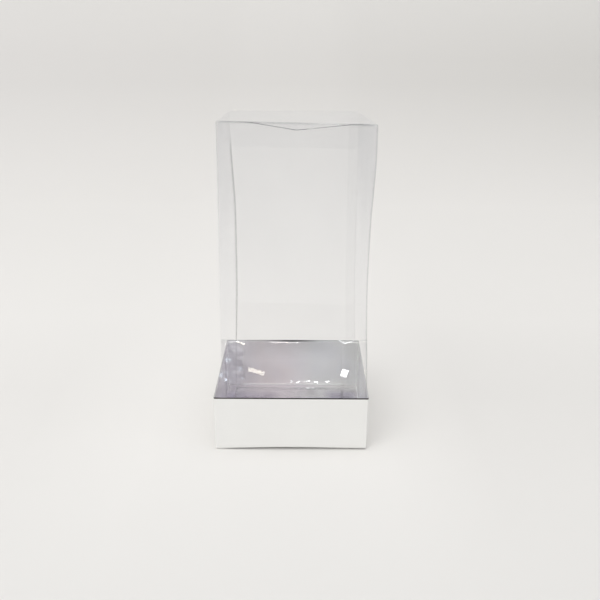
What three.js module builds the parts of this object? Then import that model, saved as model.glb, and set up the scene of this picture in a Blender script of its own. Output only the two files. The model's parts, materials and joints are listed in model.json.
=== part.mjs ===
// Clear film box with a tuck top, standing in an open tray of folded board.
// Millimetres, +Z up, +X to the right and -Y to the front.
// The origin is under the tray, in the middle of its footprint.
import * as THREE from "three";

// Tray of folded board, outside sizes
const trayWidth = 101.6;
const trayDepth = 101.6;
const trayHeight = 38.1;
const boardThickness = 0.5;

// Glued corner tabs, folded off the side walls against the front and back walls
const tabLength = 12;
const tabTopDrop = 1.5;
const tabEndSlope = 3;

// Room that the tray leaves round the clear box, which is pushed to the right and the front
const gapLeft = 5.9;
const gapRight = 0.9;
const gapFront = 0.5;
const gapBack = 5.3;

// Clear box of folded film
const boxHeight = 215.4;
const filmThickness = 0.3;
const glueFlapWidth = 7.5;

// Clearance that a flap keeps to its neighbours where it folds
const foldGap = 0.3;

// Lid and the tuck flaps that hold the two ends closed
const lidSideGap = 0.5;
const tuckDepth = 15;
const tuckSideGap = 1;
const tuckTaper = 3;
const tuckRadius = 8;
const tuckLean = THREE.MathUtils.degToRad(9);

// Dust flaps, two under the lid and two on the bottom panel
const dustCentreGap = 1;
const dustPassingGap = 1.3;
const dustBackInset = 3.85;
const dustBackTaper = 8;
const dustRadius = 3;
const dustFlatRun = 15;
const dustDroop = THREE.MathUtils.degToRad(8);

// Straight pieces that stand for each rounded flap corner
const cornerSteps = 5;

// Sizes that follow from those above
const boxWidth = trayWidth - 2 * boardThickness - gapLeft - gapRight;
const boxDepth = trayDepth - 4 * boardThickness - gapFront - gapBack;
const boxCentreX = (gapLeft - gapRight) / 2;
const boxCentreY = (gapFront - gapBack) / 2;
const halfWidth = boxWidth / 2;
const halfDepth = boxDepth / 2;
const creaseHeight = boxHeight - filmThickness / 2;
const lidReach = boxDepth - 2 * filmThickness - foldGap;
const dustCreaseHeight = creaseHeight - filmThickness - foldGap;
const sideWallTop = dustCreaseHeight - filmThickness / 2 - foldGap;
const dustReach = halfWidth - filmThickness / 2 - dustCentreGap / 2;

const right = new THREE.Vector3(1, 0, 0);
const left = right.clone().negate();
const back = new THREE.Vector3(0, 1, 0);
const front = back.clone().negate();
const up = new THREE.Vector3(0, 0, 1);
const down = up.clone().negate();

// Materials

function film() {
  return new THREE.MeshStandardMaterial({
    color: 0xeef0f0,
    roughness: 0.06,
    metalness: 0,
    transparent: true,
    opacity: 0.22,
    side: THREE.DoubleSide,
  });
}

function whiteBoard() {
  return new THREE.MeshStandardMaterial({ color: 0xf1f0ed, roughness: 0.55, metalness: 0 });
}

function silverBoard() {
  return new THREE.MeshStandardMaterial({ color: 0xc4c4ca, roughness: 0.28, metalness: 0.9 });
}

// Shapes

// A flat rectangular panel between two opposite corners.
function panel(name, low, high, material) {
  const size = high.map((value, axis) => value - low[axis]);
  const centre = high.map((value, axis) => (value + low[axis]) / 2);
  const mesh = new THREE.Mesh(new THREE.BoxGeometry(...size), material);
  mesh.name = name;
  mesh.position.set(...centre);
  return mesh;
}

// A thin sheet that runs along one direction through a list of stations. Each station says how
// far along it is, where the sheet's two edges are across it, and how far it is lifted.
function sheet(name, stations, thickness, along, across, out, material) {
  const positions = [];
  for (const { at, from, to, lift } of stations) {
    for (const [edge, face] of [[from, -1], [to, -1], [to, 1], [from, 1]]) {
      const point = new THREE.Vector3()
        .addScaledVector(along, at)
        .addScaledVector(across, edge)
        .addScaledVector(out, lift + face * thickness / 2);
      positions.push(point.x, point.y, point.z);
    }
  }
  const corners = 4;
  const triangles = [[0, 2, 1], [0, 3, 2]];
  for (let ring = 0; ring < stations.length - 1; ring += 1) {
    for (let corner = 0; corner < corners; corner += 1) {
      const a = ring * corners + corner;
      const b = ring * corners + (corner + 1) % corners;
      triangles.push([a, b, b + corners], [a, b + corners, a + corners]);
    }
  }
  const last = (stations.length - 1) * corners;
  triangles.push([last, last + 1, last + 2], [last, last + 2, last + 3]);
  const rightHanded = new THREE.Vector3().crossVectors(along, across).dot(out) > 0;
  const index = triangles.flatMap((corner) => (rightHanded ? corner : corner.reverse()));
  const geometry = new THREE.BufferGeometry();
  geometry.setAttribute("position", new THREE.Float32BufferAttribute(positions, 3));
  geometry.setIndex(index);
  geometry.computeVertexNormals();
  const mesh = new THREE.Mesh(geometry, material);
  mesh.name = name;
  return mesh;
}

// The stations of a flap from its crease to its free end. Its two edges draw in evenly by a
// taper, its free corners are rounded, and the part past the flat run droops.
function flapStations({ start, reach, from, to, taperFrom, taperTo, radius, flatRun, droop }) {
  const places = [{ at: start, inset: 0 }];
  if (droop > 0) {
    places.push({ at: flatRun, inset: 0 });
  }
  for (let step = 0; step <= cornerSteps; step += 1) {
    const turn = (step / cornerSteps) * Math.PI / 2;
    places.push({
      at: reach - radius + radius * Math.sin(turn),
      inset: radius * (1 - Math.cos(turn)),
    });
  }
  return places.map(({ at, inset }) => ({
    at,
    from: from + taperFrom * at / reach + inset,
    to: to - taperTo * at / reach - inset,
    lift: droop > 0 ? -Math.max(0, at - flatRun) * Math.tan(droop) : 0,
  }));
}

// Tray

function makeTray() {
  const tray = new THREE.Group();
  const outX = trayWidth / 2;
  const outY = trayDepth / 2;
  const inX = outX - boardThickness;
  const inY = outY - boardThickness;
  tray.add(panel("tray_floor", [-inX, -inY, 0], [inX, inY, boardThickness], silverBoard()));
  tray.add(panel("tray_front_wall", [-outX, -outY, 0], [outX, -inY, trayHeight], whiteBoard()));
  tray.add(panel("tray_back_wall", [-outX, inY, 0], [outX, outY, trayHeight], whiteBoard()));
  tray.add(panel("tray_left_wall", [-outX, -inY, 0], [-inX, inY, trayHeight], whiteBoard()));
  tray.add(panel("tray_right_wall", [inX, -inY, 0], [outX, inY, trayHeight], whiteBoard()));
  for (const [endName, face, inward] of [["front", -inY, back], ["back", inY, front]]) {
    for (const [sideName, wall, away] of [["left", -inX, right], ["right", inX, left]]) {
      const tab = makeTab(`tray_tab_${endName}_${sideName}`, away, inward);
      tab.position.set(wall, face + inward.y * boardThickness / 2, boardThickness);
      tray.add(tab);
    }
  }
  return tray;
}

// A corner tab lies flat against the front or back wall, and its free end slopes in at the top.
function makeTab(name, away, inward) {
  const height = trayHeight - boardThickness - tabTopDrop;
  const stations = [
    { at: 0, from: 0, to: height, lift: 0 },
    { at: tabLength - tabEndSlope, from: 0, to: height, lift: 0 },
    { at: tabLength, from: 0, to: height - 2 * tabEndSlope, lift: 0 },
  ];
  return sheet(name, stations, boardThickness, away, up, inward, silverBoard());
}

// Walls of the clear box, one folded sleeve with a glued seam at its back right corner

function makeWalls(box) {
  const inX = halfWidth - filmThickness;
  const inY = halfDepth - filmThickness;
  const low = filmThickness;
  const backTop = creaseHeight - filmThickness / 2 - foldGap;
  box.add(panel("film_front_panel", [-halfWidth, -halfDepth, low], [halfWidth, -inY, boxHeight], film()));
  box.add(panel("film_back_panel", [-halfWidth, inY, low], [halfWidth, halfDepth, backTop], film()));
  box.add(panel("film_left_panel", [-halfWidth, -inY, low], [-inX, inY, sideWallTop], film()));
  box.add(panel("film_right_panel", [inX, -inY, low], [halfWidth, inY, sideWallTop], film()));
  const seamLow = 2 * filmThickness + foldGap;
  box.add(panel(
    "film_glue_flap",
    [inX - glueFlapWidth, inY - filmThickness, seamLow],
    [inX, inY, sideWallTop],
    film(),
  ));
}

// Bottom of the clear box, closed flat: a panel under two dust flaps and a tuck flap in front

function makeBottom(box) {
  const inX = halfWidth - filmThickness;
  const inY = halfDepth - filmThickness;
  const bottomLow = [-halfWidth, -halfDepth, 0];
  box.add(panel("film_bottom_panel", bottomLow, [halfWidth, halfDepth, filmThickness], film()));
  const tuckHalf = inX - tuckSideGap;
  const tuck = sheet(
    "film_bottom_tuck_flap",
    flapStations({
      start: 0,
      reach: tuckDepth,
      from: -tuckHalf,
      to: tuckHalf,
      taperFrom: tuckTaper,
      taperTo: tuckTaper,
      radius: tuckRadius,
      droop: 0,
    }),
    filmThickness,
    up,
    right,
    back,
    film(),
  );
  tuck.position.set(0, -inY + filmThickness / 2, filmThickness);
  box.add(tuck);
  for (const [sideName, wall, away] of [["left", -inX, right], ["right", inX, left]]) {
    const flap = sheet(
      `film_bottom_dust_flap_${sideName}`,
      flapStations({
        start: 0,
        reach: inX - dustCentreGap / 2,
        from: -inY + filmThickness + dustPassingGap,
        to: inY - filmThickness - foldGap,
        taperFrom: 0,
        taperTo: dustBackTaper,
        radius: dustRadius,
        droop: 0,
      }),
      filmThickness,
      away,
      back,
      up,
      film(),
    );
    flap.position.set(wall, 0, 1.5 * filmThickness);
    box.add(flap);
  }
}

// Lid, folding on the top edge of the back panel, with its tuck flap leaning inwards

function makeLid(box) {
  const lid = new THREE.Group();
  lid.position.set(0, halfDepth - filmThickness / 2, creaseHeight);
  const lidHalf = halfWidth - lidSideGap;
  const lidLow = [-lidHalf, -lidReach, -filmThickness / 2];
  lid.add(panel("film_lid_panel", lidLow, [lidHalf, 0, filmThickness / 2], film()));
  const tuck = new THREE.Group();
  tuck.position.set(0, -lidReach, 0);
  tuck.rotation.x = tuckLean;
  const tuckHalf = halfWidth - filmThickness - tuckSideGap;
  tuck.add(sheet(
    "film_lid_tuck_flap",
    flapStations({
      start: filmThickness / 2 + foldGap,
      reach: tuckDepth,
      from: -tuckHalf,
      to: tuckHalf,
      taperFrom: tuckTaper,
      taperTo: tuckTaper,
      radius: tuckRadius,
      droop: 0,
    }),
    filmThickness,
    down,
    right,
    back,
    film(),
  ));
  lid.add(tuck);
  box.add(lid);
}

// Dust flaps under the lid, folding on the side panels and drooping to the middle

function makeDustFlaps(box) {
  const tuckTip = -halfDepth + 2 * filmThickness + foldGap + tuckDepth * Math.sin(tuckLean);
  for (const [sideName, direction, away] of [["left", -1, right], ["right", 1, left]]) {
    const flap = sheet(
      `film_top_dust_flap_${sideName}`,
      flapStations({
        start: 0,
        reach: dustReach,
        from: tuckTip + dustPassingGap,
        to: halfDepth - filmThickness / 2 - dustBackInset,
        taperFrom: 0,
        taperTo: dustBackTaper,
        radius: dustRadius,
        flatRun: dustFlatRun,
        droop: dustDroop,
      }),
      filmThickness,
      away,
      back,
      up,
      film(),
    );
    flap.position.set(direction * (halfWidth - filmThickness / 2), 0, dustCreaseHeight);
    box.add(flap);
  }
}

function makeClearBox() {
  const box = new THREE.Group();
  box.position.set(boxCentreX, boxCentreY, boardThickness);
  makeWalls(box);
  makeBottom(box);
  makeLid(box);
  makeDustFlaps(box);
  return box;
}

const model = new THREE.Group();
model.add(makeTray());
model.add(makeClearBox());

export default model;
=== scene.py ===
"""Looks of a clear folded film box that stands in a tray of folded board."""

import json
import math

import bpy
import numpy as np
from mathutils import Matrix, Vector


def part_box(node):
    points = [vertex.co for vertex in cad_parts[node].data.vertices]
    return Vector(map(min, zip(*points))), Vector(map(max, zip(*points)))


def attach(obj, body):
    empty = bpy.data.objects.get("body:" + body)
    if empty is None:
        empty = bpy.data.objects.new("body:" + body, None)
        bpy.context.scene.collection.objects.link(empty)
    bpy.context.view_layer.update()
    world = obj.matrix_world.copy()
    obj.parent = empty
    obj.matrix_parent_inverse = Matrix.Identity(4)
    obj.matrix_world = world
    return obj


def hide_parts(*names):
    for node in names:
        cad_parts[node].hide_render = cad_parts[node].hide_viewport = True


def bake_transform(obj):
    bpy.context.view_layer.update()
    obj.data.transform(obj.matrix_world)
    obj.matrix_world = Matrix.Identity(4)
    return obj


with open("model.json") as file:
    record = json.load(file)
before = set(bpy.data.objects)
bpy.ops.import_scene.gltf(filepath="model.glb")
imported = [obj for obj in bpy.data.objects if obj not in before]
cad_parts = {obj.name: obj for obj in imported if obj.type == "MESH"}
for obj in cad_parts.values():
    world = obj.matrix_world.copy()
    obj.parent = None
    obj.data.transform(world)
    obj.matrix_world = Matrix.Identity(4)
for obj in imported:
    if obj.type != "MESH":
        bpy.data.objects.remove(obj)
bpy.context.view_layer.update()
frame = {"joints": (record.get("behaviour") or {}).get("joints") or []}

MM = 0.001
BLACK = (0.0, 0.0, 0.0, 1.0)

# Camera, found from the corners of the tray and the edges of the film in the photograph
LENS = 48.108
SENSOR = 36.0
CAMERA_AT = Vector((0.00678, -0.52758, 0.27175))
CAMERA_PITCH = math.radians(19.129)
CAMERA_YAW = math.radians(-0.119)
CAMERA_ROLL = math.radians(-0.237)

# Film, and the rounding of its folds
FILM = 0.3 * MM
FOLD_RADIUS = 0.5 * MM
SLEEVE_RADIUS = 0.6 * MM

# Free ends of the flaps: how far a slanted side draws in, and the radius of the corners
TUCK_TAPER = 3 * MM
TUCK_CORNER = 8 * MM
DUST_TAPER = 8 * MM
TOP_DUST_CORNER = 0.5 * MM
BOTTOM_DUST_CORNER = 3 * MM

# Dust flaps under the lid: how far each runs flat, how softly it bends, and how low its end hangs
DUST_FLAT_RUN = {"left": 18.0 * MM, "right": 12.6 * MM}
DUST_SOFTNESS = 2 * MM
DUST_DROOP = 4.0 * MM

# How far each wall of the film box bows at most, in millimetres
BACK_BOW = 0.8
FRONT_BOW = 0.35
RIGHT_BOW = 0.5
LEFT_BOW = 0.6

# Top of the film box, in millimetres: its front is up at the left and down at the right, its back is down
FRONT_TILT = 0.9
BACK_DROP = 2.5

# Board of the tray, whole, and the thin silver foil that is its inner side
BOARD = 0.5 * MM
FOIL = 0.08 * MM
TRAY_RADIUS = 0.9 * MM
TRAY_CORNER_STEPS = 5

# Folds between the tray's floor and its walls: outside, under the foil and on the foil
OUTER_FOLD = 1.2 * MM
UNDER_FOLD = 1.4 * MM
INNER_FOLD = 1.3 * MM

# Pressed rim of the tray: the board is thinner in the last bit below its cut edge
RIM_THICKNESS = 0.25 * MM
RIM_HEIGHT = 1.1 * MM

# Corner tabs of the tray: the slope of the free end, and how far it stands off the wall
TAB_SLOPE = 3 * MM
TAB_LIFT = 0.6 * MM

# How high the creases of the foil are
CREASE_HEIGHT = 0.42 * MM

# How far the dark line of a fold or a cut edge fades out
EDGE_WIDTH = 0.5 * MM

# Edges that turn more than this are shaded sharp
SHARP_ANGLE = math.radians(35.0)

# Dents in the film's back panel, low down and by the tray's rim.
# Each has a centre, a half size, a turn, and how far it leans up and sideways.
DENTS = [
    ((0.0403, 0.0131), (0.0029, 0.0033), -0.28, 0.42, 0.0),
    ((-0.0280, 0.0142), (0.0066, 0.0020), -0.30, 0.42, 0.0),
    ((-0.0400, 0.0384), (0.0038, 0.0010), -0.34, 0.392, 0.0),
    ((0.0384, 0.0392), (0.0034, 0.0007), -0.42, 0.392, 0.0),
    ((0.0441, 0.0395), (0.0036, 0.0007), 0.44, 0.392, 0.0),
]

# Small flat dents along the foot of the same panel
FOOT_DENTS = [
    ((-0.0010, 0.0055), (0.0014, 0.0008), -0.20, 0.416, 0.050),
    ((0.0041, 0.0052), (0.0017, 0.0008), 0.25, 0.416, 0.044),
    ((0.0122, 0.0062), (0.0018, 0.0008), 0.20, 0.416, 0.034),
    ((0.0184, 0.0053), (0.0017, 0.0008), -0.15, 0.416, 0.027),
    ((0.0272, 0.0058), (0.0020, 0.0008), 0.15, 0.416, 0.016),
]

# Facets of the crumpled foil that shine, at the left: the centre, radius and strength of each
SPOTS = [
    ((-0.0503, 0.0407, 0.0254), 0.0032, 0.32),
    ((-0.0503, -0.0041, 0.0331), 0.0030, 0.24),
    ((-0.0503, 0.0267, 0.0153), 0.0018, 0.90),
    ((-0.0503, 0.0315, 0.0190), 0.0035, 0.10),
    ((-0.0412, 0.0503, 0.0135), 0.0030, 0.14),
    ((-0.0393, 0.0503, 0.0056), 0.0016, 0.20),
]

# The facets are long towards the back, where they also run down, and all of them face one way
FACET_SQUEEZE = 0.15
FACET_SLANT = 0.47
FACET_NORMAL = (0.10, -0.92, 0.37)

# Painted shade on the foil, laid on from above: the centre, half size and strength of each patch
PAINTED_SHADE_PATCHES = [
    ((-0.037, 0.029), (0.028, 0.011), 0.55),
    ((0.038, 0.030), (0.015, 0.012), 0.75),
]
PAINTED_SHADE_SOFTNESS = 8 * MM
PAINTED_SHADE_COLOUR = (0.31, 0.26, 0.38, 1.0)


# Small helpers for numbers

def ease(low, high, value):
    """0 up to low, 1 from high, and a smooth rise between them."""
    share = np.clip((np.asarray(value, float) - low) / (high - low), 0.0, 1.0)
    return share * share * (3.0 - 2.0 * share)


def bump(centre, half_width, value):
    """1 at the centre, falling smoothly to 0 at half_width to either side."""
    return 1.0 - ease(0.0, half_width, np.abs(np.asarray(value, float) - centre))


# Camera

def make_camera():
    forward = Vector((
        math.sin(CAMERA_YAW) * math.cos(CAMERA_PITCH),
        math.cos(CAMERA_YAW) * math.cos(CAMERA_PITCH),
        -math.sin(CAMERA_PITCH),
    ))
    level_right = Vector((math.cos(CAMERA_YAW), -math.sin(CAMERA_YAW), 0.0))
    level_up = level_right.cross(forward)
    right = level_right * math.cos(CAMERA_ROLL) - level_up * math.sin(CAMERA_ROLL)
    up = level_right * math.sin(CAMERA_ROLL) + level_up * math.cos(CAMERA_ROLL)
    data = bpy.data.cameras.new("camera")
    data.lens = LENS
    data.sensor_width = SENSOR
    camera = bpy.data.objects.new("camera", data)
    bpy.context.scene.collection.objects.link(camera)
    turn = Matrix((right, up, -forward)).transposed()
    camera.matrix_world = Matrix.Translation(CAMERA_AT) @ turn.to_4x4()
    bpy.context.scene.camera = camera


make_camera()


# Nodes of the materials

def node(tree, kind, settings=None, **inputs):
    """A new node, with its inputs set to values or linked to sockets. Numbered inputs are in_0, in_1."""
    made = tree.nodes.new("ShaderNode" + kind)
    for name, value in (settings or {}).items():
        setattr(made, name, value)
    for name, value in inputs.items():
        key = int(name[3:]) if name.startswith("in_") else name.replace("_", " ")
        if isinstance(value, bpy.types.NodeSocket):
            tree.links.new(value, made.inputs[key])
        else:
            made.inputs[key].default_value = value
    return made


def maths(tree, operation, first, second=0.0):
    return node(tree, "Math", {"operation": operation}, in_0=first, in_1=second).outputs[0]


def product(tree, first, *others):
    for other in others:
        first = maths(tree, "MULTIPLY", first, other)
    return first


def remainder(tree, share):
    """What a share leaves of 1."""
    return maths(tree, "SUBTRACT", 1.0, share)


def spread(tree, value, from_low, from_high, to_low, to_high):
    """Moves a value from one range to another."""
    inputs = {
        "Value": value,
        "From_Min": from_low,
        "From_Max": from_high,
        "To_Min": to_low,
        "To_Max": to_high,
    }
    return node(tree, "MapRange", **inputs).outputs["Result"]


def noise(tree, where, scale, detail=2.0):
    return node(tree, "TexNoise", Vector=where, Scale=scale, Detail=detail).outputs["Fac"]


def attribute(tree, name):
    """A value that each point of a mesh has."""
    return node(tree, "Attribute", {"attribute_name": name}).outputs["Fac"]


def relief(tree, height, strength, distance, normal=None):
    """A normal that is bent by a height, on top of an earlier one if there is one."""
    made = node(tree, "Bump", Strength=strength, Distance=distance, Height=height)
    if normal is not None:
        tree.links.new(normal, made.inputs["Normal"])
    return made.outputs["Normal"]


def blended_colour(tree, share, low, high, blend_type="MIX"):
    """A colour between two, by a share."""
    made = node(tree, "Mix", {"data_type": "RGBA", "blend_type": blend_type})
    for socket, value in ((made.inputs[0], share), (made.inputs[6], low), (made.inputs[7], high)):
        if isinstance(value, bpy.types.NodeSocket):
            tree.links.new(value, socket)
        else:
            socket.default_value = value
    return made.outputs[2]


def layered(tree, share, under, over):
    """One shader over another, by a share."""
    return node(tree, "MixShader", in_0=share, in_1=under, in_2=over).outputs[0]


def new_material(name):
    material = bpy.data.materials.new(name)
    material.use_nodes = True
    tree = material.node_tree
    shader = tree.nodes["Principled BSDF"]
    place = tree.nodes.new("ShaderNodeTexCoord").outputs["Object"]
    return material, tree, shader, place


def show(tree, shader):
    tree.links.new(shader, tree.nodes["Material Output"].inputs["Surface"])


def patch(tree, parts, upward, centre, half_size, turn=0.0, soft=0.3 * MM):
    """A rectangular patch: how far inside it a point is, and how far beside and above its centre."""
    beside = maths(tree, "SUBTRACT", parts.outputs["X"], centre[0])
    above = maths(tree, "SUBTRACT", parts.outputs[upward], centre[1])
    cosine, sine = math.cos(turn), math.sin(turn)
    along = maths(tree, "ADD", product(tree, beside, cosine), product(tree, above, sine))
    across = maths(tree, "SUBTRACT", product(tree, above, cosine), product(tree, beside, sine))
    near = [
        spread(tree, maths(tree, "ABSOLUTE", value), half - soft, half, 1.0, 0.0)
        for value, half in ((along, half_size[0]), (across, half_size[1]))
    ]
    return product(tree, *near), beside, above


def dented(tree, parts, dents):
    """How high the dents raise a point of the back panel, and how far inside one of them it is."""
    height, pressed = 0.0, 0.0
    for centre, half_size, turn, lean, lean_aside in dents:
        inside, beside, above = patch(tree, parts, "Z", centre, half_size, turn)
        slope = maths(tree, "ADD", product(tree, above, -lean), product(tree, beside, -lean_aside))
        height = maths(tree, "ADD", product(tree, slope, inside), height)
        pressed = maths(tree, "MAXIMUM", inside, pressed)
    return height, pressed


def film_normal(tree, parts, place, level):
    """The film's normal: slow waves, calmer on level panels, and the dents."""
    dent_height = dented(tree, parts, DENTS)[0]
    foot_height, pressed = dented(tree, parts, FOOT_DENTS)
    waviness = product(tree, spread(tree, level, 0.0, 1.0, 0.25, 0.08), remainder(tree, pressed))
    waves = relief(tree, noise(tree, place, 28.0, 1.0), waviness, 2 * MM)
    return relief(tree, maths(tree, "ADD", dent_height, foot_height), 1.0, 1.0, waves)


def clear_film(name, mirror_share, haze_and_shade_share):
    """Clear film: mostly see-through, mirror-like at a glance, with painted shade along the folds and
    painted highlights on some edges.
    """
    material, tree, mirror, place = new_material(name)
    parts = node(tree, "SeparateXYZ", Vector=place)
    height = parts.outputs["Z"]
    outward = node(tree, "SeparateXYZ", Vector=node(tree, "NewGeometry").outputs["Normal"])
    sideways = spread(tree, maths(tree, "ABSOLUTE", outward.outputs["X"]), 0.5, 0.9, 0.0, 1.0)
    level = spread(tree, maths(tree, "ABSOLUTE", outward.outputs["Z"]), 0.5, 0.9, 0.0, 1.0)

    # The mirror grows at a glancing angle, but not where the side walls are scuffed near the tray
    facing = node(tree, "LayerWeight", Blend=0.5).outputs["Facing"]
    steep = product(tree, maths(tree, "POWER", facing, 5.0), 0.45)
    scuffed = spread(tree, height, 0.050, 0.075, 0.95, 0.0)
    clean = remainder(tree, product(tree, scuffed, sideways))
    gloss = product(tree, maths(tree, "ADD", steep, mirror_share), clean)
    mirror.inputs["Base Color"].default_value = (0.98, 0.985, 1.0, 1.0)
    mirror.inputs["Metallic"].default_value = 1.0
    rough = spread(tree, noise(tree, place, 160.0, 3.0), 0.3, 0.7, 0.015, 0.05)
    tree.links.new(rough, mirror.inputs["Roughness"])
    tree.links.new(film_normal(tree, parts, place, level), mirror.inputs["Normal"])
    clear = node(tree, "BsdfTransparent", Color=(1.0, 1.0, 1.0, 1.0)).outputs[0]
    whole = layered(tree, gloss, clear, mirror.outputs[0])

    # A grey haze that is partly painted shade: thicker high up, where the film looks darker, and faint on
    # level panels
    smudge = spread(tree, noise(tree, place, 14.0), 0.3, 0.7, 0.7, 1.3)
    rising = spread(tree, height, 0.04, 0.18, 0.20 * haze_and_shade_share, 1.4 * haze_and_shade_share)
    upright = remainder(tree, product(tree, level, 0.8))
    on_sides = spread(tree, height, 0.13, 0.19, 0.4, 2.0)
    haze_and_shade = product(tree, smudge, product(tree, rising, upright))
    haze_and_shade = product(tree, haze_and_shade, spread(tree, sideways, 0.0, 1.0, 0.9, on_sides))
    grey = node(tree, "BsdfPrincipled", Base_Color=(0.24, 0.26, 0.31, 1.0), Roughness=0.4)
    whole = layered(tree, haze_and_shade, whole, grey.outputs[0])

    # Painted shade and painted highlights along the folds and edges, from the line and shine marks
    for mark, colour in (("line", (0.06, 0.06, 0.065, 1.0)), ("shine", (0.95, 0.95, 0.97, 1.0))):
        edge = node(tree, "BsdfPrincipled", Base_Color=colour, Roughness=0.35)
        whole = layered(tree, attribute(tree, mark), whole, edge.outputs[0])
    show(tree, whole)
    return material


def foil_colour(tree, parts, place, cloud, fleck, on_floor, polish):
    """The foil's cast: lilac at the left, warm in the middle and grey-green at the right, with painted
    shade on the floor, in patches and high on the walls.
    """
    drift = spread(tree, noise(tree, place, 9.0, 1.0), 0.3, 0.7, -0.006, 0.006)
    along = maths(tree, "ADD", parts.outputs["X"], drift)
    past_left = spread(tree, along, -0.046, -0.024, 0.0, 1.0)
    at_right = spread(tree, along, -0.006, 0.018, 0.0, 1.0)
    lilac = blended_colour(tree, cloud, (0.95, 0.94, 1.0, 1.0), (1.0, 0.99, 1.0, 1.0))
    warm = blended_colour(tree, cloud, (0.97, 0.90, 0.89, 1.0), (0.96, 0.92, 0.94, 1.0))
    cool = blended_colour(tree, cloud, (0.93, 0.94, 0.92, 1.0), (0.94, 0.95, 0.97, 1.0))
    tint = blended_colour(tree, past_left, lilac, warm)
    tint = blended_colour(tree, at_right, tint, cool)
    # The floor is darker: painted shade
    floor = blended_colour(tree, at_right, (0.63, 0.59, 0.63, 1.0), (0.64, 0.62, 0.63, 1.0))
    tint = blended_colour(tree, on_floor, tint, floor)
    # Patches of painted shade
    for centre, half_size, strength in PAINTED_SHADE_PATCHES:
        inside = patch(tree, parts, "Y", centre, half_size, soft=PAINTED_SHADE_SOFTNESS)[0]
        tint = blended_colour(tree, product(tree, inside, strength), tint, PAINTED_SHADE_COLOUR)

    # Fine grain, and painted shade in a band high on the walls that spares the polished creases
    grain = spread(tree, fleck, 0.3, 0.7, 0.95, 1.0)
    aside = maths(tree, "ABSOLUTE", parts.outputs["X"])
    darkest = spread(tree, aside, 0.020, 0.040, 0.22, 0.10)
    band = spread(tree, parts.outputs["Z"], 0.021, 0.035, 0.0, darkest)
    dim = product(tree, band, remainder(tree, polish))
    return blended_colour(tree, 1.0, tint, product(tree, grain, remainder(tree, dim)), "MULTIPLY")


def foil_facets(tree, parts, place):
    """How much of a shining facet there is at a point, and the shader of the facets."""
    depth = parts.outputs["Y"]
    squeezed = product(tree, depth, FACET_SQUEEZE)
    slanted = maths(tree, "ADD", product(tree, depth, FACET_SLANT), parts.outputs["Z"])
    where = node(tree, "CombineXYZ", X=parts.outputs["X"], Y=squeezed, Z=slanted).outputs[0]
    spots = 0.0
    for (x, y, z), radius, strength in SPOTS:
        centre = (x, y * FACET_SQUEEZE, z + y * FACET_SLANT)
        apart = node(tree, "VectorMath", {"operation": "DISTANCE"}, in_0=where, in_1=centre)
        spot = spread(tree, apart.outputs["Value"], 0.2 * radius, radius, strength, 0.0)
        spots = maths(tree, "MAXIMUM", spots, spot)
    ragged = spread(tree, noise(tree, place, 420.0), 0.40, 0.55, 0.2, 1.0)
    settings = {"vector_type": "NORMAL", "convert_from": "OBJECT", "convert_to": "WORLD"}
    normal = node(tree, "VectorTransform", settings, Vector=FACET_NORMAL).outputs[0]
    turned_away = node(tree, "LayerWeight", Blend=0.5, Normal=normal).outputs["Facing"]
    spots = product(tree, product(tree, spots, ragged), spread(tree, turned_away, 0.35, 0.6, 1.0, 0.0))
    inputs = {"Base_Color": (0.80, 0.90, 1.0, 1.0), "Metallic": 1.0, "Roughness": 0.25, "Normal": normal}
    return spots, node(tree, "BsdfPrincipled", **inputs).outputs[0]


def silver_foil():
    """Metallised board: a soft silver under a gloss coat, crumpled at the left."""
    material, tree, shader, place = new_material("silver_foil")
    parts = node(tree, "SeparateXYZ", Vector=place)
    cloud = spread(tree, noise(tree, place, 30.0), 0.35, 0.65, 0.0, 1.0)
    fleck = noise(tree, place, 900.0)
    on_floor = spread(tree, parts.outputs["Z"], 0.0006, 0.0009, 1.0, 0.0)
    crumpled = spread(tree, parts.outputs["X"], -0.040, -0.036, 1.0, 0.0)
    polish = attribute(tree, "crease")
    colour = foil_colour(tree, parts, place, cloud, fleck, on_floor, polish)
    tree.links.new(colour, shader.inputs["Base Color"])

    # Sharper reflections on the floor, in the creases and a little in the crumpled part
    rough = spread(tree, cloud, 0.0, 1.0, 0.50, 0.62)
    rough = maths(tree, "ADD", rough, spread(tree, on_floor, 0.0, 1.0, 0.0, -0.18))
    shine = maths(tree, "MAXIMUM", polish, product(tree, crumpled, 0.15))
    rough = product(tree, rough, spread(tree, shine, 0.0, 1.0, 1.0, 0.15))
    tree.links.new(rough, shader.inputs["Roughness"])
    shader.inputs["Metallic"].default_value = 0.75
    shader.inputs["Coat Weight"].default_value = 0.7
    shader.inputs["Coat Roughness"].default_value = 0.03

    # Slow swells, crumples at the left and the grain
    normal = relief(tree, noise(tree, place, 45.0, 1.0), 0.45, 4 * MM)
    normal = relief(tree, noise(tree, place, 130.0, 1.0), crumpled, 2.5 * MM, normal)
    normal = relief(tree, fleck, 0.12, 0.2 * MM, normal)
    tree.links.new(normal, shader.inputs["Normal"])

    spots, facets = foil_facets(tree, parts, place)
    whole = layered(tree, spots, shader.outputs[0], facets)
    # Pale marks, and black for the painted shade along the back wall's rim and foot
    for mark, mark_colour in (("line", (0.90, 0.89, 0.87, 1.0)), ("shade", (0.05, 0.05, 0.05, 1.0))):
        mark_shader = node(tree, "BsdfPrincipled", Base_Color=mark_colour, Roughness=0.6)
        whole = layered(tree, attribute(tree, mark), whole, mark_shader.outputs[0])
    show(tree, whole)
    return material


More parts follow.
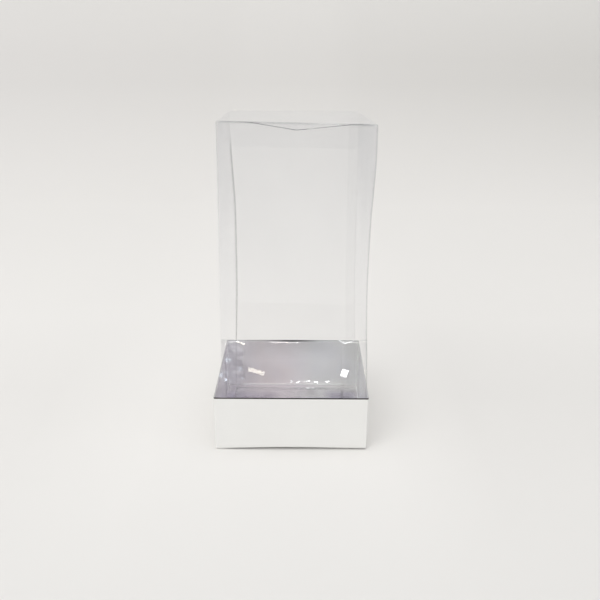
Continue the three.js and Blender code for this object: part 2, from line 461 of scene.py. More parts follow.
def white_board():
    """Smooth white carton board with a satin coat, a fine fibre, a dark line along its top edge and a
    painted shadow along its lower fold.
    """
    material, tree, shader, place = new_material("white_board")
    stretched = node(tree, "Mapping", {"vector_type": "POINT"}, Vector=place, Scale=(1.0, 1.0, 0.35))
    fibre = noise(tree, stretched.outputs["Vector"], 1400.0, 3.0)
    cloud = noise(tree, place, 60.0, 3.0)
    pale = blended_colour(tree, cloud, (0.735, 0.732, 0.716, 1.0), (0.765, 0.763, 0.747, 1.0))
    tree.links.new(pale, shader.inputs["Base Color"])
    tree.links.new(spread(tree, fibre, 0.3, 0.7, 0.38, 0.52), shader.inputs["Roughness"])
    tree.links.new(relief(tree, fibre, 0.18, 0.1 * MM), shader.inputs["Normal"])
    # Near black for the dark line along the top edge and the painted shadow along the lower fold
    dark_mark = node(tree, "BsdfPrincipled", Base_Color=(0.03, 0.028, 0.026, 1.0), Roughness=0.9)
    dark_mark.inputs["Specular IOR Level"].default_value = 0.1
    show(tree, layered(tree, attribute(tree, "line"), shader.outputs[0], dark_mark.outputs[0]))
    return material


film_look = clear_film("clear_film", 0.030, 0.030)
bonded_look = clear_film("clear_film_bonded", 0.008, 0.006)
lid_look = clear_film("clear_film_lid", 0.024, 0.010)
silver_look = silver_foil()
white_look = white_board()


# Meshes

def new_piece(name, points, faces, look, marks=None):
    """A piece from its points and faces. Marks give each point values, such as how dark its line is."""
    mesh = bpy.data.meshes.new(name)
    mesh.from_pydata([tuple(map(float, point)) for point in points], [], faces)
    for mark, values in (marks or {}).items():
        values = np.clip(np.asarray(values, np.float32), 0.0, 1.0)
        mesh.attributes.new(mark, "FLOAT", "POINT").data.foreach_set("value", values)
    mesh.materials.append(look)
    mesh.shade_smooth()
    mesh.set_sharp_from_angle(angle=SHARP_ANGLE)
    mesh.validate()
    piece = bpy.data.objects.new(name, mesh)
    bpy.context.scene.collection.objects.link(piece)
    return piece


def directions(grid, ring):
    """Unit vectors square to a grid of points, from the differences along its rows and columns."""
    along = np.gradient(grid, axis=0)
    if ring:
        across = np.roll(grid, -1, axis=1) - np.roll(grid, 1, axis=1)
    else:
        across = np.gradient(grid, axis=1)
    out = np.cross(along, across)
    return out / np.maximum(np.linalg.norm(out, axis=2, keepdims=True), 1e-12)


def sheet_solid(grid, thickness, ring=False):
    """Points and faces of a closed solid round a grid that lies in the middle of a thin sheet.
    With ring, the columns close on themselves."""
    rows, columns = grid.shape[:2]
    half = np.broadcast_to(np.asarray(thickness) / 2, grid.shape[:2])
    out = directions(grid, ring) * half[:, :, None]
    points = np.concatenate([(grid + out).reshape(-1, 3), (grid - out).reshape(-1, 3)])
    spans = columns if ring else columns - 1
    faces = []

    def add_face(*corners):
        """Each corner is a row, a column and a side of the sheet."""
        faces.append([
            side * rows * columns + row * columns + column % columns
            for row, column, side in corners
        ])

    for row in range(rows - 1):
        for left in range(spans):
            low, right = row + 1, left + 1
            add_face((row, left, 0), (low, left, 0), (low, right, 0), (row, right, 0))
            add_face((row, right, 1), (low, right, 1), (low, left, 1), (row, left, 1))
    last = rows - 1
    for left in range(spans):
        right = left + 1
        add_face((0, left, 0), (0, right, 0), (0, right, 1), (0, left, 1))
        add_face((last, right, 0), (last, left, 0), (last, left, 1), (last, right, 1))
    if not ring:
        end = columns - 1
        for row in range(rows - 1):
            low = row + 1
            add_face((low, 0, 0), (row, 0, 0), (row, 0, 1), (low, 0, 1))
            add_face((row, end, 0), (low, end, 0), (low, end, 1), (row, end, 1))
    return points, faces


def both_sides(values):
    """Values of a grid's points, for the two faces of its sheet."""
    return np.concatenate([np.ravel(values), np.ravel(values)])


def sheet_piece(name, grid, thickness, look, line, shine=None, ring=False, move=None):
    """A piece of thin sheet. move bends its finished points."""
    if move is not None:
        grid = move(grid.reshape(-1, 3)).reshape(grid.shape)
    points, faces = sheet_solid(grid, thickness, ring)
    marks = {"line": both_sides(line)}
    if shine is not None:
        marks["shine"] = both_sides(shine)
    return new_piece(name, points, faces, look, marks)


def edge_shares(length, steps):
    """Shares from 0 to 1 with one close to each end, so that a line along an edge stays thin."""
    near = EDGE_WIDTH / length
    return np.concatenate([[0.0], np.linspace(near, 1.0 - near, steps), [1.0]])


def rounded_ring(low, high, radius, side_steps, corner_steps):
    """Points round a rectangle with rounded corners, anticlockwise from its front left corner."""
    centres = [
        (low[0] + radius, low[1] + radius, 180.0),
        (high[0] - radius, low[1] + radius, 270.0),
        (high[0] - radius, high[1] - radius, 0.0),
        (low[0] + radius, high[1] - radius, 90.0),
    ]
    corners = []
    for x, y, start in centres:
        turns = np.radians(start + np.linspace(0.0, 90.0, corner_steps + 1))
        corners.append(np.stack([x + radius * np.cos(turns), y + radius * np.sin(turns)], axis=1))
    points = []
    for index, corner in enumerate(corners):
        side = corners[(index + 1) % 4][0] - corner[-1]
        points.extend(corner)
        for share in edge_shares(np.linalg.norm(side), side_steps)[1:-1]:
            points.append(corner[-1] + side * share)
    return np.array(points)


def strip(path, from_edges, to_edges, across_axis, columns):
    """A grid that runs along a path of (first, z) points, between two edges on the across axis."""
    width = max(to_edges[0] - from_edges[0], 2 * EDGE_WIDTH)
    shares = edge_shares(width, columns)
    grid = np.zeros((len(path), len(shares), 3))
    along_axis = 1 - across_axis
    for row, (first, z) in enumerate(path):
        grid[row, :, along_axis] = first
        grid[row, :, across_axis] = from_edges[row] + (to_edges[row] - from_edges[row]) * shares
        grid[row, :, 2] = z
    return grid


def flap_steps(start, reach, corner, straight_steps, corner_steps):
    """Distances along a flap, closer together in the rounded corners at its free end."""
    turns = np.linspace(0.0, math.pi / 2, corner_steps)[1:]
    straight = np.linspace(start, reach - corner, straight_steps)
    return np.concatenate([straight, reach - corner + corner * np.sin(turns)])


def corner_inset(distance_to_end, radius):
    """How far a rounded free corner draws in, at a distance from the flap's end."""
    into = np.clip(radius - distance_to_end, 0.0, radius)
    return radius - np.sqrt(np.maximum(radius * radius - into * into, 0.0))


# Where the film box is, from the solids of its panels and its joints

def joint_place(name):
    return next(joint["pos_m"] for joint in frame["joints"] if joint["name"] == name)


front_low, front_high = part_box("film_front_panel")
back_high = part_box("film_back_panel")[1]
LEFT_X, RIGHT_X = front_low.x, front_high.x
FRONT_Y, BACK_Y = front_low.y, back_high.y
BOTTOM_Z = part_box("film_bottom_panel")[0].z
SIDE_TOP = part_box("film_left_panel")[1].z
FRONT_TOP, BACK_TOP = front_high.z, back_high.z
LID_Z = (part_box("film_lid_panel")[0].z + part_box("film_lid_panel")[1].z) / 2
DUST_Z = joint_place("left_dust_fold")[2]


def film_bend(points):
    """How the real film box departs from a straight one: walls bow, folds wander and the top tilts."""
    x, y, z = points[:, 0], points[:, 1], points[:, 2]
    u = np.clip((x - LEFT_X) / (RIGHT_X - LEFT_X), 0.0, 1.0)
    v = np.clip((y - FRONT_Y) / (BACK_Y - FRONT_Y), 0.0, 1.0)
    h = (z - BOTTOM_Z) / (FRONT_TOP - BOTTOM_Z)

    # How far each upright fold wanders to the right on its way up, in millimetres
    left_front = -0.75 * bump(0.45, 0.45, h) - 0.4 * bump(0.18, 0.25, h)
    left_back = 2.3 * ease(0.05, 0.45, h) * (1.0 - ease(0.64, 0.90, h))
    right_front = 2.1 * ease(0.70, 0.93, h) - 0.9 * bump(0.53, 0.26, h) + 0.7 * (1.0 - ease(0.20, 0.40, h))
    right_back = -2.6 * ease(0.0, 0.45, h)
    wander = (
        (1 - u) * (1 - v) * left_front + u * (1 - v) * right_front
        + (1 - u) * v * left_back + u * v * right_back
    )

    belly = np.sin(np.pi * np.clip(h, 0.0, 1.0)) ** 0.8
    across, deep = np.sin(np.pi * u), np.sin(np.pi * v)
    shift_x = wander + belly * deep * (RIGHT_BOW * u - LEFT_BOW * (1 - u))
    shift_y = belly * across * (BACK_BOW * v - FRONT_BOW * (1 - v))
    top = ease(0.70, 1.0, h)
    shift_z = top * ((1 - v) * (FRONT_TILT - 2 * FRONT_TILT * u) - v * BACK_DROP)
    return points + np.stack([shift_x, shift_y, shift_z], axis=1) * MM


def make_sleeve():
    """The four walls, one folded piece of film."""
    side_steps, corner_steps, levels = 16, 5, 44
    inset = FILM / 2
    low = (LEFT_X + inset, FRONT_Y + inset)
    high = (RIGHT_X - inset, BACK_Y - inset)
    ring = rounded_ring(low, high, SLEEVE_RADIUS, side_steps, corner_steps)
    tops = np.full(len(ring), SIDE_TOP)
    tops[ring[:, 1] < low[1] + SLEEVE_RADIUS * 0.3] = FRONT_TOP
    tops[ring[:, 1] > high[1] - SLEEVE_RADIUS * 0.3] = BACK_TOP
    shares = np.linspace(1.0, 0.0, levels)
    grid = np.zeros((levels, len(ring), 3))
    grid[:, :, 0] = ring[:, 0]
    grid[:, :, 1] = ring[:, 1]
    grid[:, :, 2] = BOTTOM_Z + (tops[None, :] - BOTTOM_Z) * shares[:, None]

    # Painted shade along the upright folds, fading out in the tray
    round_end = SLEEVE_RADIUS * 1.01
    near_left = ring[:, 0] < low[0] + round_end
    near_right = ring[:, 0] > high[0] - round_end
    near_front = ring[:, 1] < low[1] + round_end
    near_back = ring[:, 1] > high[1] - round_end
    z = grid[:, :, 2]
    above_tray = 0.15 + 0.85 * ease(0.034, 0.048, z)
    line = 0.21 * (near_left & near_back) * (1.0 - ease(0.183, 0.203, z)) * above_tray
    line += 0.10 * (near_right & near_front) * (1.0 - 0.4 * ease(0.17, 0.20, z)) * above_tray
    line += 0.02 * (near_right & near_back)
    sleeve = sheet_piece("film_sleeve", grid, FILM, film_look, line, ring=True, move=film_bend)
    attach(sleeve, "clear_box")
    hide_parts("film_front_panel", "film_back_panel", "film_left_panel", "film_right_panel")


def lid_marks(grid, fold):
    """The lid's fold: painted shade in stretches of different strength, and painted highlights on the
    stretches behind it.
    """
    x, y, z = grid[:, :, 0], grid[:, :, 1], grid[:, :, 2]
    at_fold = bump(0.0, 1.1 * MM, np.hypot(y - fold[1], z - fold[2]))
    strength = 0.20 + 0.08 * bump(-0.024, 0.008, x) + 0.10 * ease(0.034, 0.040, x)
    strength = strength * ease(-0.046, -0.038, x) - 0.16 * bump(0.022, 0.014, x)
    strength = strength * (1.0 - ease(0.0445, 0.048, x))
    behind = bump(fold[1] + 1.6 * MM, 1.3 * MM, y) * (z > LID_Z - 0.1 * MM)
    lit = bump(-0.022, 0.006, x) + bump(0.024, 0.010, x) + bump(0.0405, 0.006, x)
    return at_fold * strength, 0.5 * behind * lit


def make_lid():
    """The lid and its tuck flap, one piece with a fold along the front."""
    panel_low, panel_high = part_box("film_lid_panel")
    tuck_low, tuck_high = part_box("film_lid_tuck_flap")
    fold = joint_place("tuck_fold")
    lean = math.atan2(tuck_high.y - tuck_low.y - FILM, tuck_high.z - tuck_low.z)
    turn = math.pi / 2 + lean
    reach = (fold[2] - tuck_low.z) / math.cos(lean)
    used = FOLD_RADIUS * math.tan(turn / 2)
    flat_end = fold[1] + used
    flat = panel_high.y - flat_end
    path = [(y, LID_Z) for y in panel_high.y - flat * edge_shares(flat, 28)[:-1]]
    for angle in np.linspace(0.0, turn, 8):
        path.append((
            flat_end - FOLD_RADIUS * math.sin(angle),
            LID_Z - FOLD_RADIUS * (1 - math.cos(angle)),
        ))
    steps = flap_steps(used, reach, TUCK_CORNER, 8, 9)[1:]
    past_fold = np.concatenate([np.zeros(len(path)), steps])
    path += [(fold[1] + step * math.sin(lean), fold[2] - step * math.cos(lean)) for step in steps]
    rounding = np.where(past_fold > 0, corner_inset(reach - past_fold, TUCK_CORNER), 0.0)
    draw = TUCK_TAPER * past_fold / reach + rounding
    side_gap = (panel_high.x - panel_low.x) / 2 - (tuck_high.x - tuck_low.x) / 2
    narrowing = side_gap * ease(used, 2 * MM, past_fold)
    grid = strip(path, panel_low.x + draw + narrowing, panel_high.x - draw - narrowing, 0, 33)
    line, shine = lid_marks(grid, fold)
    lid = sheet_piece("film_lid", grid, FILM, lid_look, line, shine, move=film_bend)
    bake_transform(lid)
    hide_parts("film_lid_panel", "film_lid_tuck_flap")


def make_lid_fold():
    """The strip of film that turns from the back panel into the lid."""
    panel_low, panel_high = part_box("film_lid_panel")
    middle = BACK_Y - FILM / 2
    turns = np.linspace(0.0, math.pi / 2, 7)
    radius = LID_Z - BACK_TOP
    path = [(middle - radius + radius * math.cos(t), BACK_TOP + radius * math.sin(t)) for t in turns]
    low = np.full(len(path), panel_low.x)
    high = np.full(len(path), panel_high.x)
    grid = strip(path, low, high, 0, 25)
    line = np.full(grid.shape[:2], 0.01)
    fold = sheet_piece("film_lid_fold", grid, FILM, bonded_look, line, move=film_bend)
    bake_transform(fold)


def drooped(distance, flat_run, reach):
    """How far a dust flap hangs down at a distance from its wall: flat, then a soft bend, then a slope."""
    past = max(0.0, distance - flat_run)
    if past < DUST_SOFTNESS:
        fall = past * past / (2 * DUST_SOFTNESS)
    else:
        fall = past - DUST_SOFTNESS / 2
    return DUST_DROOP * fall / (reach - flat_run - DUST_SOFTNESS / 2)


def make_dust_flap(side):
    """A flap under the lid, which droops towards the middle from the fold on its side panel."""
    name = "film_top_dust_flap_" + side
    low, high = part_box(name)
    inward = 1.0 if side == "left" else -1.0
    wall = LEFT_X + FILM / 2 if side == "left" else RIGHT_X - FILM / 2
    reach = high.x - low.x + 0.35 * MM
    path = [(wall, SIDE_TOP + 0.02 * MM)]
    for turn in np.linspace(0.0, math.pi / 2, 7):
        path.append((
            wall + inward * FOLD_RADIUS * (1 - math.cos(turn)),
            DUST_Z - FOLD_RADIUS * (1 - math.sin(turn)),
        ))
    steps = flap_steps(2 * FOLD_RADIUS, reach, TOP_DUST_CORNER, 40, 7)
    run = np.concatenate([np.zeros(len(path)), steps])
    flat_run = DUST_FLAT_RUN[side]
    path += [(wall + inward * step, DUST_Z - drooped(step, flat_run, reach)) for step in steps]
    draw = corner_inset(reach - run, TOP_DUST_CORNER)
    from_y = low.y + draw
    to_y = high.y - DUST_TAPER * run / reach - draw
    grid = strip(path, from_y, to_y, 1, 21)
    if side == "right":
        grid = grid[:, ::-1, :]

    # The front edge carries painted shade: the dark V below the lid, with breaks in it and a slightly
    # thicker lip
    x, y = grid[:, :, 0], grid[:, :, 1]
    front_edge = bump(0.0, EDGE_WIDTH, y - from_y[:, None])
    tip = ease(reach - 0.4 * MM, reach, run)[:, None]
    strength = ease(-0.044, -0.026, x) * (0.80 + 0.20 * bump(0.0025, 0.007, x))
    strength = strength - 0.7 * bump(0.0110, 0.0025, x) - 0.2 * bump(0.022, 0.012, x)
    strength = strength * (1.0 - 0.35 * ease(0.034, 0.040, x)) * (1.0 - 0.8 * ease(0.044, 0.048, x))
    line = np.maximum(strength * front_edge, 0.06 * tip)
    lip = 1.0 + 0.15 * front_edge * ease(-0.032, -0.026, x)
    flap = sheet_piece(name + "_sheet", grid, FILM * lip, film_look, line, move=film_bend)
    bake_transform(flap)
    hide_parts(name)


def make_seam():
    """The glue flap inside the back panel."""
    low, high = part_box("film_glue_flap")
    levels = np.linspace(high.z, low.z, 40)
    share = np.linspace(0.0, 1.0, len(levels))
    path = [((low.y + high.y) / 2, z) for z in levels]
    cut_ends = 1.5 * MM * (bump(0.0, 0.03, share) + bump(1.0, 0.03, share))
    grid = strip(path, low.x + cut_ends, np.full(len(path), high.x), 0, 6)
    line = np.full(grid.shape[:2], 0.01)
    seam = sheet_piece("film_seam", grid, high.y - low.y, bonded_look, line, move=film_bend)
    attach(seam, "clear_box")
    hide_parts("film_glue_flap")


def make_bottom_panel():
    """The bottom, with dashes of light along its back fold."""
    low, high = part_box("film_bottom_panel")
    margin = 0.1 * MM
    rows = np.append(np.linspace(low.y + margin, high.y - 0.8 * MM, 24), high.y - margin)
    path = [(y, (low.z + high.z) / 2) for y in rows]
    from_x = np.full(len(rows), low.x + margin)
    to_x = np.full(len(rows), high.x - margin)
    grid = strip(path, from_x, to_x, 0, 90)
    # Painted shade along the front edge, and painted highlights in dashes along the back fold
    line = np.zeros(grid.shape[:2])
    line[0, :] = 0.10
    shine = np.zeros(grid.shape[:2])
    x = grid[-2:, :, 0]
    dashes = 0.5 + 0.5 * np.sin(x / (1.1 * MM)) * np.sin(x / (2.3 * MM))
    shine[-2:, :] = 0.9 * bump(0.013, 0.018, x) * dashes + 0.15
    panel = sheet_piece("film_bottom_sheet", grid, high.z - low.z, film_look, line, shine)
    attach(panel, "clear_box")
    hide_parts("film_bottom_panel")


def make_bottom_tuck():
    """The tuck flap of the bottom, which stands inside the front panel."""
    low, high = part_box("film_bottom_tuck_flap")
    reach = high.z - low.z
    steps = flap_steps(0.0, reach, TUCK_CORNER, 8, 9)
    draw = TUCK_TAPER * steps / reach + corner_inset(reach - steps, TUCK_CORNER)
    path = [((low.y + high.y) / 2, low.z + step) for step in steps]
    grid = strip(path, low.x + draw, high.x - draw, 0, 25)
    line = np.full(grid.shape[:2], 0.01)
    # Painted shade along the free end and the sides
    line[-1, :] = 0.15
    line[:, 0] = line[:, -1] = 0.12
    tuck = sheet_piece("film_bottom_tuck_sheet", grid, high.y - low.y, film_look, line)
    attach(tuck, "clear_box")
    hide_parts("film_bottom_tuck_flap")


def make_bottom_dust_flap(side):
    """A dust flap that lies on the bottom panel."""
    name = "film_bottom_dust_flap_" + side
    low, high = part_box(name)
    inward = 1.0 if side == "left" else -1.0
    wall = low.x if side == "left" else high.x
    reach = high.x - low.x
    steps = flap_steps(0.0, reach, BOTTOM_DUST_CORNER, 14, 7)
    draw = corner_inset(reach - steps, BOTTOM_DUST_CORNER)
    path = [(wall + inward * step, (low.z + high.z) / 2) for step in steps]
    grid = strip(path, low.y + draw, high.y - DUST_TAPER * steps / reach - draw, 1, 17)
    line = np.full(grid.shape[:2], 0.01)
    # Painted highlights along the free end and the back edge
    shine = np.zeros(grid.shape[:2])
    shine[-1, :] = 0.08
    shine[:, -1] = 0.25 * bump(-0.002, 0.014, grid[:, -1, 0])
    flap = sheet_piece(name + "_sheet", grid, high.z - low.z, film_look, line, shine)
    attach(flap, "clear_box")
    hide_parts(name)


make_sleeve()
make_lid()
make_lid_fold()
make_dust_flap("left")
make_dust_flap("right")
make_seam()
make_bottom_panel()
make_bottom_tuck()
make_bottom_dust_flap("left")
make_bottom_dust_flap("right")


# Tray, from the solids of its walls

tray_low = Vector((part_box("tray_left_wall")[0].x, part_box("tray_front_wall")[0].y, 0.0))
tray_high = Vector((
    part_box("tray_right_wall")[1].x,
    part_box("tray_back_wall")[1].y,
    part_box("tray_left_wall")[1].z,
))


def tray_bend(points):
    """The right wall leans out a little, the back one bows, and the front edge stands off the table."""
    x, y, z = points[:, 0], points[:, 1], points[:, 2]
    h = np.clip(z / tray_high.z, 0.0, 1.0)
    u = (x - tray_low.x) / (tray_high.x - tray_low.x)
    v = (y - tray_low.y) / (tray_high.y - tray_low.y)
    shift_x = 0.5 * h * u ** 4
    shift_y = h * (0.7 * np.sin(np.pi * np.clip(u, 0.0, 1.0)) * v ** 4)
    lift = ease(-0.045, -0.005, x) - 0.45 * ease(0.01, 0.05, x)
    shift_z = 0.8 * lift * (1.0 - ease(0.0, 0.5, h)) * (1.0 - ease(0.0, 0.5, v))
    return points + np.stack([shift_x, shift_y, shift_z], axis=1) * MM


def tray_shell(name, profile, look, marks_of, side_steps, move=None):
    """A closed shell with the tray's square plan. The profile lists how far in from the outer
    face and how high each ring lies, from the middle of the floor and back to it."""
    points, insets = [], []
    for inset, z in profile:
        low = (tray_low.x + inset, tray_low.y + inset)
        high = (tray_high.x - inset, tray_high.y - inset)
        radius = max(TRAY_RADIUS - inset, 0.02 * MM)
        ring = rounded_ring(low, high, radius, side_steps, TRAY_CORNER_STEPS)
        points.extend([(x, y, z) for x, y in ring])
        insets.extend([inset] * len(ring))
    count = len(points) // len(profile)
    faces = []
    for level in range(len(profile) - 1):
        for step in range(count):
            here = level * count + step
            after = level * count + (step + 1) % count
            faces.append([here, after, after + count, here + count])
    under_middle = len(points)
    over_middle = under_middle + 1
    centre = (tray_low + tray_high) / 2
    points.append((centre.x, centre.y, profile[0][1]))
    points.append((centre.x, centre.y, profile[-1][1]))
    insets.extend([centre.x - tray_low.x] * 2)
    last = (len(profile) - 1) * count
    for step in range(count):
        after = (step + 1) % count
        faces.append([under_middle, after, step])
        faces.append([over_middle, last + step, last + after])
    points = np.array(points, float)
    marks = marks_of(points, np.array(insets))
    if move is not None:
        points = move(points)
    return new_piece(name, tray_bend(points), faces, look, marks)


def board_marks(points, inset):
    """The board's dark line along its top edge, and the painted shadow along its lower fold."""
    x, z = points[:, 0], points[:, 2]
    rim = 1.0 * ((inset < 0.14 * MM) & (z > tray_high.z - 0.75 * MM))
    drawn = ease(-0.051, -0.035, x) * (1.0 - 0.5 * ease(0.0, 0.04, x))
    lowest = 1.0 * (z < 0.6 * MM)
    next_up = 0.6 * ((z > 0.6 * MM) & (z < 0.9 * MM))
    foot = (inset < 1.0 * MM) * (lowest + next_up) * drawn
    return {"line": np.maximum(rim, foot)}


def foil_creases(points):
    """How much of a crease there is in the foil of the back wall: under its rim, and dashes at its foot."""
    x, z = points[:, 0], points[:, 2]
    below = tray_high.z - z
    back = points[:, 1] > tray_high.y - 1.5 * MM
    under_rim = bump(2.1 * MM, 0.8 * MM, below) * (ease(-0.020, -0.015, x) - ease(0.002, 0.010, x))
    foot = bump(2.4 * MM, 0.7 * MM, z) * bump(0.0125, 0.020, x)
    dashes = 0.6 + 0.4 * np.sin(x / (0.9 * MM)) * np.sin(x / (2.1 * MM))
    return back * np.maximum(under_rim, foot * dashes)


def crease_foil(points):
    """Raises the creases on the foil's inner face."""
    inner = points[:, 1] < tray_high.y - BOARD + 0.5 * FOIL
    points[:, 1] -= CREASE_HEIGHT * inner * foil_creases(points)
    return points


def lining_marks(points, inset):
    """Marks of the foil: painted shade along the back wall's rim and foot, pale corners and polished
    creases.
    """
    x, y, z = points[:, 0], points[:, 1], points[:, 2]
    below = tray_high.z - z
    back = y > tray_high.y - 1.5 * MM
    width = 0.8 * MM + 0.5 * MM * bump(0.0, 0.022, x)
    rim = (0.5 + 0.5 * bump(0.0, 0.026, x)) * (1.0 - ease(width, width + 0.4 * MM, below))
    corner = back * (np.abs(x) > tray_high.x - 1.2 * MM) * 0.35
    foot = 0.22 * back * bump(0.9 * MM, 0.9 * MM, z)
    return {"line": corner, "shade": np.maximum(back * rim, foot), "crease": foil_creases(points)}


def fold_rings(radius, inset, floor_z, steps=5):
    """Rings round the fold between the floor and the walls."""
    turns = np.linspace(0.0, math.pi / 2, steps)
    return [(inset + radius * (1 - math.sin(t)), floor_z + radius * (1 - math.cos(t))) for t in turns]


def make_board(levels):
    """The white board: up its outer face, over the pressed rim and down under the foil."""
    height = tray_high.z
    skin = BOARD - FOIL
    outside = [(6 * MM, 0.0)] + fold_rings(OUTER_FOLD, 0.0, 0.0)
    outside += [(0.0, z) for z in levels]
    outside += [(0.0, height - drop) for drop in (0.9 * MM, 0.7 * MM, 0.08 * MM)]
    rim = [(0.05 * MM, height), (0.13 * MM, height), (0.16 * MM, height)]
    inside = [(RIM_THICKNESS - FOIL, height - 0.05 * MM), (skin, height - RIM_HEIGHT)]
    inside += [(skin, z) for z in levels[::-1]]
    inside += fold_rings(UNDER_FOLD, skin, skin)[::-1] + [(6 * MM, skin)]
    board = tray_shell("tray_board", outside + rim + inside, white_look, board_marks, 24)
    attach(board, "tray")
    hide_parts("tray_front_wall", "tray_back_wall", "tray_left_wall", "tray_right_wall")


def make_lining(levels):
    """The foil: up along the board, a hair off it, and down again with rings for its creases."""
    height = tray_high.z
    against = BOARD - FOIL + 0.005 * MM
    under = [(6 * MM, against)] + fold_rings(UNDER_FOLD, against, against)
    under += [(against, z) for z in levels] + [(against, height - RIM_HEIGHT)]
    under += [(RIM_THICKNESS - FOIL + 0.005 * MM, height - 0.06 * MM)]
    half_way = 0.7 * MM
    over = [(RIM_THICKNESS, height - 0.1 * MM), (BOARD * (half_way / RIM_HEIGHT), height - half_way)]
    over += [(BOARD, height - drop) for drop in np.arange(RIM_HEIGHT, 4.6 * MM, 0.35 * MM)]
    over += [(BOARD, z) for z in levels[::-1] if z < height - 5 * MM]
    over += [(BOARD, z * MM) for z in (2.8, 2.4, 2.0)]
    over += fold_rings(INNER_FOLD, BOARD, BOARD, 8)[::-1]
    over += [(inset * MM, BOARD) for inset in (3, 6, 12, 20, 30, 40)]
    lining = tray_shell("tray_lining", under + over, silver_look, lining_marks, 80, crease_foil)
    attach(lining, "tray")
    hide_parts("tray_floor")


def make_tab(end, side):
    """A corner tab, glued flat near the fold, with a free end that stands off a little."""
    name = "tray_tab_" + end + "_" + side
    low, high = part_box(name)
    away = 1.0 if side == "left" else -1.0
    inward = 1.0 if end == "front" else -1.0
    start = low.x if side == "left" else high.x
    reach = high.x - low.x
    steps = reach * edge_shares(reach, 14)
    past = np.clip((steps - (reach - TAB_SLOPE)) / TAB_SLOPE, 0.0, 1.0)
    tops = high.z - 2 * TAB_SLOPE * past
    bottoms = low.z + 1.2 * TAB_SLOPE * past
    middle = (low.y + high.y) / 2
    lift = inward * TAB_LIFT * (steps / reach) ** 3
    shares = edge_shares(high.z - low.z, 14)
    grid = np.zeros((len(steps), len(shares), 3))
    grid[:, :, 0] = (start + away * steps)[:, None]
    grid[:, :, 1] = (middle + lift)[:, None]
    grid[:, :, 2] = bottoms[:, None] + (tops - bottoms)[:, None] * shares[None, :]
    if away * inward < 0:
        grid = grid[:, ::-1, :]
    line = np.zeros(grid.shape[:2])
    line[-1, :] = line[:, 0] = line[:, -1] = 0.8
    tab = sheet_piece(name + "_board", grid, high.y - low.y, silver_look, line, move=tray_bend)
    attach(tab, "tray")
    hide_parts(name)


wall_levels = list(np.linspace(0.08, 0.90, 10) * tray_high.z)
make_board(wall_levels)
make_lining(wall_levels)
for end in ("front", "back"):
    for side in ("left", "right"):
        make_tab(end, side)


# Floor, backdrop, lamps and world

def backdrop_look():
    """A pale sheet with painted shade: greyer where it curves up, a painted shadow at both sides of the
    object, and greyer near the camera.
    """
    material, tree, shader, place = new_material("backdrop")
    parts = node(tree, "SeparateXYZ", Vector=place)
    x, y, z = (parts.outputs[axis] for axis in "XYZ")
    cloud = noise(tree, place, 1.4)
    pale = blended_colour(tree, cloud, (0.815, 0.802, 0.782, 1.0), (0.835, 0.822, 0.802, 1.0))
    # Painted shade: greyer where the sheet curves up, more so at the right and less so high up
    climb = spread(tree, maths(tree, "ADD", y, z), 0.70, 1.35, 0.0, 1.0)
    rightward = spread(tree, x, -0.8, 0.8, 0.0, 1.0)
    far = blended_colour(tree, rightward, (0.70, 0.685, 0.67, 1.0), (0.63, 0.618, 0.595, 1.0))
    pale = blended_colour(tree, climb, pale, far)
    high = spread(tree, z, 0.20, 0.45, 0.0, 1.0)
    pale = blended_colour(tree, high, pale, (0.74, 0.73, 0.71, 1.0))
    # Painted shadow at both sides of the object
    shaded_right = spread(tree, x, 0.065, 0.13, 0.0, 1.0)
    shaded_left = spread(tree, x, -0.10, -0.18, 0.0, 0.75)
    beside = spread(tree, maths(tree, "ABSOLUTE", y), 0.04, 0.20, 0.08, 0.02)
    shaded = product(tree, maths(tree, "ADD", shaded_right, shaded_left), beside)
    pale = blended_colour(tree, shaded, pale, BLACK)
    # Painted shade near the camera
    near = spread(tree, y, -0.04, -0.35, 0.0, 1.0)
    pale = blended_colour(tree, near, pale, (0.68, 0.674, 0.66, 1.0))
    tree.links.new(pale, shader.inputs["Base Color"])
    shader.inputs["Roughness"].default_value = 0.7
    return material


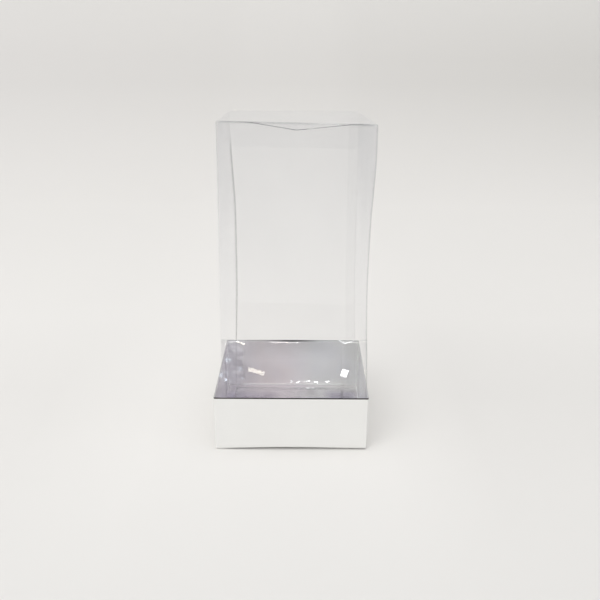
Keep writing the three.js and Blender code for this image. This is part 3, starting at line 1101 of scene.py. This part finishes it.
def make_backdrop():
    """A pale table top that curves up behind the object."""
    half_width, front_edge, bend_start, bend_radius, top = 6.0, -4.0, 0.70, 0.9, 3.0
    path = [(y, 0.0) for y in np.linspace(front_edge, bend_start, 20)]
    for turn in np.linspace(0.0, math.pi / 2, 24)[1:]:
        path.append((bend_start + bend_radius * math.sin(turn), bend_radius * (1 - math.cos(turn))))
    path.append((bend_start + bend_radius, top))
    columns = 24
    points = [(x, y, z) for y, z in path for x in np.linspace(-half_width, half_width, columns)]
    faces = []
    for row in range(len(path) - 1):
        for column in range(columns - 1):
            here = row * columns + column
            faces.append([here, here + 1, here + 1 + columns, here + columns])
    backdrop = new_piece("backdrop", points, faces, backdrop_look())


def make_lamp(name, place, target, size, power, colour=(1.0, 1.0, 1.0)):
    """A square lamp that shines on a target."""
    data = bpy.data.lights.new(name, "AREA")
    data.shape = "SQUARE"
    data.size = size
    data.energy = power
    data.color = colour
    lamp = bpy.data.objects.new(name, data)
    bpy.context.scene.collection.objects.link(lamp)
    lamp.location = place
    lamp.rotation_euler = (Vector(target) - Vector(place)).to_track_quat("-Z", "Y").to_euler()


def make_world():
    """Pale light from all round, a little dimmer from the far side and from below."""
    world = bpy.data.worlds.new("studio")
    bpy.context.scene.world = world
    world.use_nodes = True
    tree = world.node_tree
    background = tree.nodes["Background"]
    direction = tree.nodes.new("ShaderNodeTexCoord").outputs["Generated"]
    parts = node(tree, "SeparateXYZ", Vector=direction)
    depth = spread(tree, parts.outputs["Y"], -0.8, 0.8, 0.0, 1.0)
    colour = blended_colour(tree, depth, (0.92, 0.92, 0.92, 1.0), (0.80, 0.80, 0.81, 1.0))
    height = spread(tree, parts.outputs["Z"], -0.15, 0.05, 0.0, 1.0)
    colour = blended_colour(tree, height, (0.72, 0.72, 0.72, 1.0), colour)
    tree.links.new(colour, background.inputs["Color"])
    background.inputs["Strength"].default_value = 1.03


make_backdrop()
make_world()
make_lamp("key", (-1.1, -1.4, 1.5), (0.0, 0.1, 0.0), 1.4, 13.5, (1.0, 0.99, 0.97))
make_lamp("top", (0.2, 0.5, 2.2), (0.0, 0.2, 0.0), 1.6, 4.0)

# Two small windows, which the dents and the facets reflect
make_lamp("left_window", (-0.13, -1.5, 0.62), (0.0, 0.0, 0.03), 0.10, 0.32, (1.0, 0.93, 0.76))
make_lamp("right_window", (0.13, -1.5, 0.62), (0.0, 0.0, 0.03), 0.10, 0.7)

scene = bpy.context.scene
scene.view_settings.view_transform = "Standard"
scene.cycles.max_bounces = 32
scene.cycles.glossy_bounces = 24
scene.cycles.transparent_max_bounces = 48
